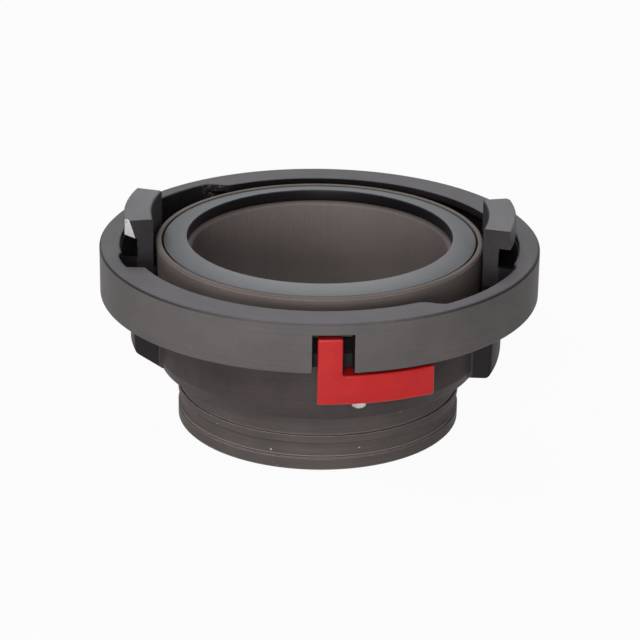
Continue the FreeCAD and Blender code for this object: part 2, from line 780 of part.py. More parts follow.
def make_lock_ring():
    """The turning ring, one casting: band, lip, race, floor, skirt, hooks and spanner lugs."""
    body = new_body("lock_ring")
    profile = new_sketch(body, "ring_profile", "XZ_Plane")
    draw(profile, [
        (BAND_R - s.band_bevel, FACE),
        (LIP_R, FACE),
        (LIP_R, LIP_UNDER),
        (RACE_R, LIP_UNDER),
        (RACE_R, FLOOR_TOP),
        (RING_BORE_R - CUT_MARGIN, FLOOR_TOP),
        (RING_BORE_R - CUT_MARGIN, SKIRT_FOOT),
        (SKIRT_END_R, SKIRT_FOOT),
        (SKIRT_R, SKIRT_FOOT + s.skirt_taper_drop),
        (SKIRT_R, BAND_FOOT),
        (BAND_R, BAND_FOOT),
        (BAND_R, FACE - s.band_bevel),
    ])
    revolve(body, "ring_turned", "Revolution", profile)
    repeat_opposite(body, "lip_openings", [open_lip(body)], False)
    hook = add_hook(body)
    pad_wall = add_pad_wall(body)
    lead_in = cut_lead_in(body)
    lug = add_lug(body)
    repeat_opposite(body, "opposite_side", [hook, pad_wall, lead_in, lug], True)
    round_openings(body)
    trim_lugs(body)
    bore_ring(body)
    round_lugs(body)
    cut_window(body)
    hole = new_sketch(body, "pin_hole_plan", "XY_Plane", FLOOR_TOP)
    draw_circle(hole, PIN_PLACE, PIN_R)
    extrude(body, "pin_hole", "Pocket", hole, s.floor_thick)
    seat = radial_sketch(body, "spring_seat_plan", SEAT_FLOOR_R, SPRING_ANGLE)
    draw_circle(seat, (ZERO, ARM_MIDDLE), s.seat_dia / 2)
    extrude(body, "spring_seat", "Pocket", seat, s.seat_depth + CUT_MARGIN, reverse=True)
    turn_with_ring(body)
    return body


def make_lock_lever():
    """The locking lever: thumb arm, tab with its nose, and the knuckle round the pin."""
    body = new_body("lock_lever")
    arm = new_sketch(body, "arm_plan", "XY_Plane", ARM_TOP)
    draw(arm, sector(PLATE_IN_R, PLATE_OUT_R, TAB_FAR, ARM_END))
    extrude(body, "arm", "Pad", arm, s.arm_height, reverse=True)
    tab = new_sketch(body, "tab_plan", "XY_Plane", TAB_TOP)
    draw(tab, sector(PLATE_IN_R, PLATE_OUT_R, TAB_FAR, TAB_NEAR))
    extrude(body, "tab", "Pad", tab, TAB_TOP - ARM_TOP + ROOT_SINK, reverse=True)
    nose = new_sketch(body, "nose_plan", "XY_Plane", TAB_TOP - s.nose_drop)
    draw(nose, sector(PLATE_IN_R - s.nose_reach, PLATE_IN_R + ROOT_SINK, TAB_FAR, TAB_NEAR))
    extrude(body, "nose", "Pad", nose, s.nose_height, reverse=True)
    knuckle = new_sketch(body, "knuckle_plan", "XY_Plane", ARM_TOP)
    draw_circle(knuckle, PIN_PLACE, KNUCKLE_R)
    extrude(body, "knuckle", "Pad", knuckle, s.arm_height, reverse=True)
    bore = new_sketch(body, "pivot_bore_plan", "XY_Plane", ARM_TOP)
    draw_circle(bore, PIN_PLACE, PIN_HOLE_R)
    extrude(body, "pivot_bore", "Pocket", bore, s.arm_height)
    pocket = radial_sketch(body, "spring_pocket_plan", POCKET_FLOOR_R, SPRING_ANGLE)
    draw_circle(pocket, (ZERO, ARM_MIDDLE), s.spring_pocket_dia / 2)
    extrude(body, "spring_pocket", "Pocket", pocket, s.spring_pocket_depth + CUT_MARGIN)
    round_lever(body)
    turn_with_ring(body)
    return body


def round_lever(body):
    """Round the plate's corners, the crook between tab and arm, and the outer edges."""
    corner_angles = (TAB_FAR, TAB_NEAR, ARM_END)

    def across(edge, middle):
        return near(radius_of(middle), (PLATE_IN_R + PLATE_OUT_R) / 2, LOOSE)

    def crook(edge, middle):
        inside = near(middle.z, ARM_TOP) and near(angle_of(middle), TAB_NEAR, LOOSE_ANGLE)
        return inside and across(edge, middle)

    def corner(edge, middle):
        level = near(middle.z, TAB_TOP) or near(middle.z, ARM_TOP) or near(middle.z, ARM_FOOT)
        at_end = any(near(angle_of(middle), angle, LOOSE_ANGLE) for angle in corner_angles)
        return across(edge, middle) and level and at_end

    def outer(edge, middle):
        return near(radius_of(middle), PLATE_OUT_R) and edge.Length > s.lever_round.value

    soften(body, "crook", "Fillet", crook, s.crook_round)
    soften(body, "corners", "Fillet", corner, s.lever_round)
    soften(body, "outer_edges", "Fillet", outer, s.lever_round)


def make_lever_pin():
    """The straight pin, pressed into the ring's floor and free at its lower end."""
    body = new_body("lever_pin")
    top = FLOOR_TOP - s.pin_sink
    foot = ARM_FOOT - s.pin_tail
    plan = new_sketch(body, "pin_plan", "XY_Plane", foot)
    draw_circle(plan, PIN_PLACE, PIN_R)
    extrude(body, "pin_rod", "Pad", plan, top - foot)
    soften(body, "pin_ends", "Chamfer", lambda edge, middle: edge.Closed, s.pin_bevel)
    turn_with_ring(body)
    return body


def make_lever_spring():
    """The compression spring from the skirt's seat to the arm's pocket."""
    body = new_body("lever_spring")
    wire_r = s.spring_wire / 2
    start_r = SEAT_FLOOR_R + s.spring_gap
    length = POCKET_FLOOR_R - s.spring_gap - start_r
    section = new_sketch(body, "wire_section", "XZ_Plane")
    draw_circle(section, (s.spring_dia / 2 - wire_r, wire_r), wire_r)
    doc.recompute()
    coil = body.newObject("PartDesign::AdditiveHelix", "coil")
    coil.Profile = section
    coil.ReferenceAxis = (section, ["V_Axis"])
    coil.Mode = "height-turns-angle"
    bind(coil, "Height", length - s.spring_wire)
    bind(coil, "Turns", s.spring_turns)
    doc.recompute()
    place = polar(start_r, SPRING_ANGLE + s.ring_turn)
    where = f"vector({place[0].formula}; {place[1].formula}; {ARM_MIDDLE.formula})"
    turned = f"rotation(vector(0; 0; 1); {(SPRING_ANGLE + s.ring_turn).formula})"
    body.setExpression("Placement", f"placement({where}; {turned} * rotation(vector(0; 1; 0); 90))")
    return body


def check_document():
    """Stop if any object of the document failed to build."""
    for item in doc.Objects:
        if "Invalid" in item.State or "Error" in item.State:
            raise RuntimeError(f"{item.Name} failed: {item.State}")


def export(bodies):
    """Write each piece to its own STEP file, named after it."""
    os.makedirs(STEP_FOLDER, exist_ok=True)
    for body in bodies:
        shape = body.Shape
        if shape.isNull() or not shape.isValid() or len(shape.Solids) != 1:
            raise RuntimeError(f"{body.Label} is not one valid solid")
        print(f"{body.Label}: {shape.Volume:.1f} mm3")
    for body in bodies:
        body.Shape.exportStep(os.path.join(STEP_FOLDER, f"{body.Label}.step"))


pieces = [
    make_tailpiece(),
    make_pressure_gasket(),
    make_snap_ring(),
    make_lock_ring(),
    make_lock_lever(),
    make_lever_pin(),
    make_lever_spring(),
]
doc.recompute()
check_document()
export(pieces)
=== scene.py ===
import logging
import math
from collections.abc import Sequence
from dataclasses import dataclass, field
from enum import Enum

import bpy
from mathutils import Matrix, Vector


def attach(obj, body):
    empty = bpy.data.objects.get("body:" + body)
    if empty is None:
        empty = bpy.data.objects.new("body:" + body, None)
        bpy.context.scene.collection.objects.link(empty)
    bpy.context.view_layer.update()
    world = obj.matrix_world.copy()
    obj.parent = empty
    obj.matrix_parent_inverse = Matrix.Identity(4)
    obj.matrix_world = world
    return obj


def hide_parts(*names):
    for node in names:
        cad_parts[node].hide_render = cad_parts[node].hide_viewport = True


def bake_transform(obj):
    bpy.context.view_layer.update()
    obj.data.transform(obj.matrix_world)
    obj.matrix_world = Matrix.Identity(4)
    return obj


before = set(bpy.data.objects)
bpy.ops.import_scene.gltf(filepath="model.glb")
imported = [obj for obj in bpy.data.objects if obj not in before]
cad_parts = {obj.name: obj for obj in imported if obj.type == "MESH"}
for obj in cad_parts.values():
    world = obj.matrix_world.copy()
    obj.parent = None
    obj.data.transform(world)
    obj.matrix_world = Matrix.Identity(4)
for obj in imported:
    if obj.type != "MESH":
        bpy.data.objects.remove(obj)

LOG = logging.getLogger("storz_coupling")
FACE = 0.0823                # front face of the lock ring above the tail's end, in metres
RING_TURN = -2.6             # how far the hooks stand turned from the X axis, in degrees
MIX_INPUTS = (6, 7)          # the Mix node's two colour inputs
MIX_OUTPUT = 2               # the Mix node's colour output
QUARTER_TURN = math.radians(90.0)

Colour = tuple[float, float, float]
Place = tuple[float, float, float]
Tones = tuple[Colour, Colour]
Scales = tuple[float, float, float]
Span = tuple[float, float]
Shares = tuple[float, ...]
Node = bpy.types.Node


class Body(Enum):
    """The moving groups of the coupling."""

    TAIL = "tail"
    RING = "ring"
    LEVER = "lever"


def shade(red: float, green: float, blue: float) -> Colour:
    """Turn a colour read as 0 to 255 on a screen into the linear colour that it stands for.

    Args:
        red: Screen value of red.
        green: Screen value of green.
        blue: Screen value of blue.

    Returns:
        The linear colour.
    """
    def linear(value: float) -> float:
        """One channel, from screen value to linear by the sRGB curve."""
        part = value / 255
        return part / 12.92 if part <= 0.04045 else ((part + 0.055) / 1.055) ** 2.4

    return linear(red), linear(green), linear(blue)


def above_face(rise: Span) -> Span:
    """Turn two heights that count from the ring's face into heights above the tail's end.

    Args:
        rise: The two heights above the face, in metres.

    Returns:
        The two heights above the tail's end.
    """
    return FACE + rise[0], FACE + rise[1]


@dataclass(frozen=True)
class Grain:
    """One layer of noise.

    The scale is in waves a metre. A layer that runs round the waterway has three scales of its
    own instead: waves a metre outward, waves a radian along and waves a metre upward.
    """

    scale: float
    detail: float = 4.0
    strength: float = 0.55
    around: Scales | None = None


class Nodes:
    """A small hand for wiring one material's nodes.

    The core of a spot is the share of its reach within which its mask is full.
    """

    bevel_samples = 6
    spot_core = 0.4

    def __init__(self, name: str) -> None:
        """Start a material with a Principled shader and its output.

        Args:
            name: The material's name.
        """
        self.material = bpy.data.materials.new(name)
        self.material.use_nodes = True
        self.tree = self.material.node_tree
        self.tree.nodes.clear()
        self.output = self.add("ShaderNodeOutputMaterial")
        self.shader = self.add("ShaderNodeBsdfPrincipled")
        self.link(self.shader, "BSDF", self.output, "Surface")
        self.place = self.add("ShaderNodeTexCoord")
        split = self.add("ShaderNodeSeparateXYZ")
        self.link(self.place, "Object", split, 0)
        self.x, self.y, self.z = (self.plain(split, axis) for axis in ("X", "Y", "Z"))
        self.radius = self.value("SQRT", self.value("ADD", self.value("MULTIPLY", self.x, self.x),
                                                    self.value("MULTIPLY", self.y, self.y)))
        self.angle = self.value("ARCTAN2", self.y, self.x)

    def add(self, kind: str, **settings) -> Node:
        """Add a node and set its own properties.

        Args:
            kind: The node's type name.
            **settings: Properties of the node, such as operation.

        Returns:
            The new node.
        """
        node = self.tree.nodes.new(kind)
        for key, value in settings.items():
            setattr(node, key, value)
        return node

    def link(self, source: Node, out: str | int, target: Node, into: str | int) -> None:
        """Join one node's output to another's input.

        Args:
            source: The node that gives.
            out: Its output's name or number.
            target: The node that takes.
            into: Its input's name or number.
        """
        self.tree.links.new(source.outputs[out], target.inputs[into])

    def plain(self, source: Node, out: str) -> Node:
        """Pass one output of a node on as a first output.

        Args:
            source: The node that gives.
            out: Its output's name.

        Returns:
            A node whose first output is that value.
        """
        node = self.add("ShaderNodeMath", operation="ADD")
        self.link(source, out, node, 0)
        node.inputs[1].default_value = 0.0
        return node

    def value(self, operation: str, first: Node | float, second: Node | float = 0.0) -> Node:
        """A Math node on numbers or nodes.

        Args:
            operation: The Math node's operation.
            first: A number or a node whose first output is read.
            second: A number or a node whose first output is read.

        Returns:
            The Math node.
        """
        node = self.add("ShaderNodeMath", operation=operation)
        for index, item in enumerate((first, second)):
            if isinstance(item, Node):
                self.link(item, 0, node, index)
            else:
                node.inputs[index].default_value = item
        return node

    def over(self, source: Node, limit: float) -> Node:
        """A sharp mask of the values above a limit.

        Args:
            source: The node whose first output is read.
            limit: The limit.

        Returns:
            A node whose first output is 1 above the limit and 0 below it.
        """
        return self.value("GREATER_THAN", source, limit)

    def under(self, source: Node, limit: float) -> Node:
        """A sharp mask of the values below a limit.

        Args:
            source: The node whose first output is read.
            limit: The limit.

        Returns:
            A node whose first output is 1 below the limit and 0 above it.
        """
        return self.value("LESS_THAN", source, limit)

    def noise(self, grain: Grain) -> Node:
        """Noise on the object's own place, or on that place unrolled round the waterway.

        Args:
            grain: The layer of noise.

        Returns:
            A node whose first output is the noise from 0 to 1.
        """
        noise = self.add("ShaderNodeTexNoise")
        noise.inputs["Scale"].default_value = grain.scale
        noise.inputs["Detail"].default_value = grain.detail
        noise.inputs["Roughness"].default_value = grain.strength
        if grain.around is None:
            self.link(self.place, "Object", noise, "Vector")
        else:
            self.link(self.unrolled(grain.around), 0, noise, "Vector")
        return noise

    def unrolled(self, scales: Scales) -> Node:
        """The place unrolled round the waterway, each way with its own scale.

        Args:
            scales: Waves a metre outward, waves a radian along and waves a metre upward.

        Returns:
            A node whose first output is the vector.
        """
        joined = self.add("ShaderNodeCombineXYZ")
        for index, source in enumerate((self.radius, self.angle, self.z)):
            self.link(self.value("MULTIPLY", source, scales[index]), 0, joined, index)
        return joined

    def ramp(self, source: Node, low: float, high: float,
             bottom: float = 0.0, top: float = 1.0) -> Node:
        """Spread a value between two limits over a range.

        Args:
            source: The node whose first output is read.
            low: The value that becomes the bottom.
            high: The value that becomes the top.
            bottom: The result at low.
            top: The result at high.

        Returns:
            The Map Range node.
        """
        node = self.add("ShaderNodeMapRange")
        names = ("From Min", "From Max", "To Min", "To Max")
        for name, number in zip(names, (low, high, bottom, top)):
            node.inputs[name].default_value = number
        self.link(source, 0, node, "Value")
        return node

    def between(self, source: Node, low: float, high: float, soft: float) -> Node:
        """A mask of the stretch between two limits, with soft edges.

        Args:
            source: The node whose first output is read.
            low: Where the stretch begins.
            high: Where it ends.
            soft: Half the width of each edge.

        Returns:
            A node whose first output is 1 inside and 0 outside.
        """
        return self.value("MULTIPLY", self.ramp(source, low - soft, low + soft),
                          self.ramp(source, high + soft, high - soft))

    def blend(self, nodes: Sequence[Node], shares: Shares) -> Node:
        """Add up several values, each times its share.

        Args:
            nodes: The nodes whose first outputs are read.
            shares: Each node's share.

        Returns:
            A node whose first output is the sum.
        """
        total, *others = (self.value("MULTIPLY", node, share)
                          for node, share in zip(nodes, shares))
        for part in others:
            total = self.value("ADD", total, part)
        return total

    def spread(self, source: Node, width: float, base: float) -> Node:
        """A value that starts at a base and grows with a node.

        Args:
            source: The node whose first output is read.
            width: What the source adds at 1.
            base: The result where the source is 0.

        Returns:
            A node whose first output is the value.
        """
        return self.value("ADD", self.value("MULTIPLY", source, width), base)

    def every(self, *masks: Node) -> Node:
        """The product of several masks.

        Args:
            *masks: The nodes whose first outputs are read.

        Returns:
            A node whose first output is the product.
        """
        result = masks[0]
        for mask in masks[1:]:
            result = self.value("MULTIPLY", result, mask)
        return result

    def spot(self, centre: Place, reach: float) -> Node:
        """A soft round mask about a point.

        Args:
            centre: The point, in metres.
            reach: Radius at which the mask is gone.

        Returns:
            A node whose first output is 1 at the point.
        """
        away = self.add("ShaderNodeVectorMath", operation="DISTANCE")
        self.link(self.place, "Object", away, 0)
        away.inputs[1].default_value = centre
        return self.ramp(self.plain(away, "Value"), reach, reach * self.spot_core)

    def mix(self, factor: Node, first: Node | Colour, second: Node | Colour) -> Node:
        """Mix two colours.

        Args:
            factor: The node whose first output says how much of the second colour there is.
            first: The colour, or a mix, at 0.
            second: The colour, or a mix, at 1.

        Returns:
            The Mix node.
        """
        node = self.add("ShaderNodeMix", data_type="RGBA")
        self.link(factor, 0, node, 0)
        for socket, item in zip(MIX_INPUTS, (first, second)):
            if isinstance(item, Node):
                self.link(item, MIX_OUTPUT, node, socket)
            else:
                node.inputs[socket].default_value = (*item, 1.0)
        return node

    def edges(self, radius: float) -> tuple[Node, Node]:
        """Find the sharp edges of a piece.

        Args:
            radius: Width of the edge that counts, in metres.

        Returns:
            The node that gives the rounded normal, and one that rises from 0 to 1 at an edge.
        """
        rounded = self.add("ShaderNodeBevel", samples=self.bevel_samples)
        rounded.inputs["Radius"].default_value = radius
        flat = self.add("ShaderNodeNewGeometry")
        same = self.add("ShaderNodeVectorMath", operation="DOT_PRODUCT")
        self.link(rounded, 0, same, 0)
        self.link(flat, "Normal", same, 1)
        turned = self.add("ShaderNodeMath", operation="SUBTRACT")
        turned.inputs[0].default_value = 1.0
        self.link(same, "Value", turned, 1)
        return rounded, turned

    def colour(self, node: Node) -> None:
        """Send a colour mix to the shader's base colour.

        Args:
            node: The Mix node.
        """
        self.link(node, MIX_OUTPUT, self.shader, "Base Color")

    def roughness(self, node: Node) -> None:
        """Send a value to the shader's roughness.

        Args:
            node: The node whose first output is read.
        """
        self.link(node, 0, self.shader, "Roughness")

    def bump(self, height: Node, distance: float, below: Node | None = None) -> None:
        """Raise the surface by a height.

        Args:
            height: The node that gives the height.
            distance: Height in metres at full strength.
            below: The node that gives the normal below, or None for the mesh's own.
        """
        bump = self.add("ShaderNodeBump")
        bump.inputs["Distance"].default_value = distance
        self.link(height, 0, bump, "Height")
        if below is not None:
            self.link(below, 0, bump, "Normal")
        self.link(bump, 0, self.shader, "Normal")


@dataclass(frozen=True)
class CastFinish:
    """Dark hard-anodised casting, turned on its face and band, darkest on the surfaces left as
    cast inside and under the ring, where painted shade darkens the cast finish.

    Each pair of tones holds the darker and the lighter tone of one kind of surface. The kinds
    are lit and shaded copies of one finish: painted light on the face and the hook tops,
    painted shade on the skirt, the lugs, the hook sides and the surfaces left as cast. Radii,
    widths and heights are in metres and angles in degrees, but for facet_slant and
    patch_soft_angle, which are in radians. What is called rise counts from the ring's face, and
    what is called range is the stretch of a value that is spread from 0 to 1.
    """

    name: str = "dark_anodised_casting"
    # Darkest tone, for the surfaces left as cast inside and under the ring: the cast finish with
    # painted shade added.
    as_cast_and_shade: Tones = (shade(30, 28, 30), shade(48, 45, 47))
    # Painted shade for the hollow under each hook's toe.
    pocket_shade: Tones = (shade(9, 8, 10), shade(18, 16, 18))
    # Painted shade: the skirt under the band is given a darker tone.
    shaded_skirt: Tones = (shade(70, 63, 63), shade(84, 76, 76))
    # Painted shade: the lugs under the band are darker still.
    shaded_lug: Tones = (shade(40, 38, 39), shade(52, 49, 50))
    band: Tones = (shade(93, 89, 89), shade(106, 101, 101))
    # Painted light: the face is given a lighter tone than the band, for the light from above.
    face: Tones = (shade(103, 101, 105), shade(117, 114, 118))
    # Painted shade: the hook sides and stems are darker than the face.
    shaded_hook_side: Tones = (shade(54, 51, 53), shade(70, 67, 69))
    # Painted light: the hook tops are lighter still.
    lit_hook_top: Tones = (shade(124, 122, 127), shade(141, 139, 144))
    # Metal showing through on the hooks' lead-ins, made near white as a painted highlight.
    bare_glint: Colour = shade(226, 224, 222)
    # Light tone for edge wear with a painted edge highlight, also used for the specks of the
    # rough patch.
    edge: Colour = shade(140, 138, 142)
    # Painted shade along the band's upper edge at the sides.
    brim_shade: Colour = shade(40, 38, 41)
    metallic: float = 0.03
    gloss: float = 0.05
    roughness: float = 0.4
    roughness_spread: float = 0.16
    bare_polish: float = 0.12

    blotches: Grain = Grain(42.0, 6.0, 0.6)
    grains: Grain = Grain(1500.0, 3.0, 0.6)
    streaks: Grain = Grain(1.0, 3.0, 0.6, (2600.0, 1.6, 1500.0))
    tone_shares: Shares = (0.5, 0.25, 0.25)
    tone_range: Span = (0.38, 0.62)

    skirt_top: float = 0.0598
    lug_radius: float = 0.0742
    band_radius: float = 0.0962
    face_rise: float = -0.0003
    side_rise: float = 0.0004
    top_rise: float = 0.0142
    soft: float = 0.0001

    stem_radii: Span = (0.0685, 0.0812)
    stem_rise: Span = (-0.012, 0.002)
    pocket_radii: Span = (0.0807, 0.0874)
    pocket_offset: float = 0.06
    pocket_along: Span = (-0.0262, 0.018)
    pocket_rise: Span = (-0.003, 0.0057)

    brim_radius: float = 0.0959
    brim_rise: Span = (-0.001, -0.0003)
    brim_soft: float = 0.00015
    brim_offset: Span = (0.03, 0.07)
    brim_strength: Span = (0.1, 0.85)

    edge_width: float = 0.0006
    edge_range: Span = (0.02, 0.12)
    scuffs: Grain = Grain(260.0, 3.0)
    scuff_range: Span = (0.36, 0.58)
    scuff_rise: Span = (0.001, 0.005)
    scuff_strength: Span = (0.12, 0.7)

    facet_angle: float = 14.1
    facet_slant: float = 0.61
    facet_rise: float = 0.0052
    facet_offset: float = 0.0795
    facing_range: Span = (0.86, 0.92)
    wear: Grain = Grain(420.0, 3.0)
    wear_range: Span = (0.22, 0.32)

    patch_angles: Span = (124.0, 130.0)
    patch_soft_angle: float = 0.02
    patch_radii: Span = (0.082, 0.0905)
    patch_soft: float = 0.0004
    patch_rise: float = -0.0002
    specks: Grain = Grain(780.0, 3.0, 0.6)
    speck_range: Span = (0.5, 0.68)
    speck_strength: Span = (0.0, 0.7)

    pebbles: Grain = Grain(620.0, 4.0, 0.65)
    relief_shares: Shares = (0.25, 0.2, 6.0)
    relief: float = 0.00007
    pits: tuple[tuple[Place, float], ...] = (
        ((-0.0668, -0.0703, FACE), 0.0012),
        ((0.0352, -0.0898, FACE), 0.0009),
    )
    pit_depth: float = 3.0

    def build(self) -> bpy.types.Material:
        """Make the material.

        Returns:
            The material.
        """
        hand = Nodes(self.name)
        hand.shader.inputs["Metallic"].default_value = self.metallic
        blotch, grain, streak = map(hand.noise, (self.blotches, self.grains, self.streaks))
        tone = hand.ramp(hand.blend((blotch, streak, grain), self.tone_shares), *self.tone_range)
        body = hand.mix(tone, *self.as_cast_and_shade)
        for mask, tones in self.surfaces(hand):
            body = hand.mix(mask, body, hand.mix(tone, *tones))
        # Painted shade in the hollow under each toe, with its gloss taken away so that it shows
        # no reflection.
        pocket_shade_mask = self.pocket_shade_mask(hand)
        body = hand.mix(pocket_shade_mask, body, hand.mix(tone, *self.pocket_shade))
        hand.link(hand.ramp(pocket_shade_mask, 0.0, 1.0, self.gloss, 0.0), 0,
                  hand.shader, "Specular IOR Level")
        body = hand.mix(self.brim_shade_line(hand), body, self.brim_shade)
        rounded, sharp = hand.edges(self.edge_width)
        body = hand.mix(self.edge_wear_and_highlight_mask(hand, sharp), body, self.edge)
        patch = self.patch(hand)
        speck = hand.ramp(hand.noise(self.specks), *self.speck_range, *self.speck_strength)
        body = hand.mix(hand.every(patch, speck), body, self.edge)
        facet = self.facet(hand)
        hand.colour(hand.mix(facet, body, self.bare_glint))
        dull = hand.spread(grain, self.roughness_spread, self.roughness)
        polish = hand.value("MULTIPLY", facet, self.bare_polish)
        hand.roughness(hand.value("SUBTRACT", dull, polish))
        pebble = hand.value("MULTIPLY", patch, hand.noise(self.pebbles))
        height = hand.blend((grain, streak, pebble), self.relief_shares)
        for centre, reach in self.pits:
            pit = hand.value("MULTIPLY", hand.spot(centre, reach), self.pit_depth)
            height = hand.value("SUBTRACT", height, pit)
        hand.bump(height, self.relief, rounded)
        return hand.material

    def surfaces(self, hand: Nodes) -> list[tuple[Node, Tones]]:
        """Tell the kinds of surface apart by their place on the casting; their tones are painted
        light on the face and the hook tops and painted shade on the skirt, the lugs, the hook
        sides and the stems.

        Args:
            hand: The material's nodes.

        Returns:
            Each kind's mask with its tones, the later over the earlier.
        """
        below = hand.under(hand.z, self.skirt_top)
        return [
            (below, self.shaded_skirt),
            (hand.every(below, hand.over(hand.radius, self.lug_radius)), self.shaded_lug),
            (hand.over(hand.radius, self.band_radius), self.band),
            (hand.over(hand.z, FACE + self.face_rise), self.face),
            (hand.over(hand.z, FACE + self.side_rise), self.shaded_hook_side),
            (hand.over(hand.z, FACE + self.top_rise), self.lit_hook_top),
            # The stems get the hook sides' painted shade.
            (self.stem(hand), self.shaded_hook_side),
        ]

    def stem(self, hand: Nodes) -> Node:
        """A mask of each hook's stem where it runs down the inside of the ring.

        Args:
            hand: The material's nodes.

        Returns:
            A node whose first output is 1 on the stem.
        """
        inner, outer = self.stem_radii
        across = hand.value("ABSOLUTE", hand.x)
        return hand.every(hand.over(across, inner), hand.under(across, outer),
                          hand.under(hand.radius, outer),
                          hand.between(hand.z, *above_face(self.stem_rise), self.soft))

    def pocket_shade_mask(self, hand: Nodes) -> Node:
        """A mask of the hollow under each hook's toe, where little light reaches: it gets painted
        shade and loses its gloss.

        Args:
            hand: The material's nodes.

        Returns:
            A node whose first output is 1 in the pocket.
        """
        along = hand.value("MULTIPLY", hand.y, hand.value("SIGN", hand.x))
        return hand.every(hand.between(hand.radius, *self.pocket_radii, self.soft),
                          hand.over(hand.value("ABSOLUTE", hand.x), self.pocket_offset),
                          hand.between(along, *self.pocket_along, self.soft),
                          hand.between(hand.z, *above_face(self.pocket_rise), self.soft))

    def brim_shade_line(self, hand: Nodes) -> Node:
        """A mask of the painted shade line along the band's upper edge, at both sides.

        Args:
            hand: The material's nodes.

        Returns:
            A node whose first output is strongest on the line.
        """
        return hand.every(hand.over(hand.radius, self.brim_radius),
                          hand.between(hand.z, *above_face(self.brim_rise), self.brim_soft),
                          hand.ramp(hand.value("ABSOLUTE", hand.x), *self.brim_offset,
                                    *self.brim_strength))

    def edge_wear_and_highlight_mask(self, hand: Nodes, sharp: Node) -> Node:
        """A mask of the sharp edges, strongest on the hooks, for edge wear with a painted edge
        highlight.

        Args:
            hand: The material's nodes.
            sharp: The node that rises at an edge.

        Returns:
            A node whose first output is strongest on the lightest edges.
        """
        return hand.every(hand.ramp(sharp, *self.edge_range),
                          hand.ramp(hand.noise(self.scuffs), *self.scuff_range),
                          hand.ramp(hand.z, *above_face(self.scuff_rise), *self.scuff_strength))

    def facet(self, hand: Nodes) -> Node:
        """A mask of the slanted lead-in of each hook, where the finish wears through to the
        metal; its near-white colour is also a painted highlight.

        Args:
            hand: The material's nodes.

        Returns:
            A node whose first output is 1 on the facet.
        """
        turn = math.radians(self.facet_angle + RING_TURN)
        slant = turn + self.facet_slant
        outward = hand.blend((hand.x, hand.y), (math.cos(turn), math.sin(turn)))
        side = hand.value("SIGN", outward)
        normal = hand.add("ShaderNodeSeparateXYZ")
        hand.link(hand.place, "Normal", normal, 0)
        parts = [hand.value("MULTIPLY", hand.plain(normal, name), side) for name in ("X", "Y")]
        facing = hand.blend(parts, (math.cos(slant), math.sin(slant)))
        return hand.every(hand.ramp(facing, *self.facing_range),
                          hand.over(hand.z, FACE + self.facet_rise),
                          hand.over(hand.value("ABSOLUTE", outward), self.facet_offset),
                          hand.ramp(hand.noise(self.wear), *self.wear_range))

    def patch(self, hand: Nodes) -> Node:
        """A mask of the rough casting where the lip runs in, behind the left hook.

        Args:
            hand: The material's nodes.

        Returns:
            A node whose first output is 1 on the rough patch.
        """
        low, high = (math.radians(angle + RING_TURN) for angle in self.patch_angles)
        return hand.every(hand.between(hand.angle, low, high, self.patch_soft_angle),
                          hand.between(hand.radius, *self.patch_radii, self.patch_soft),
                          hand.under(hand.z, FACE + self.patch_rise))


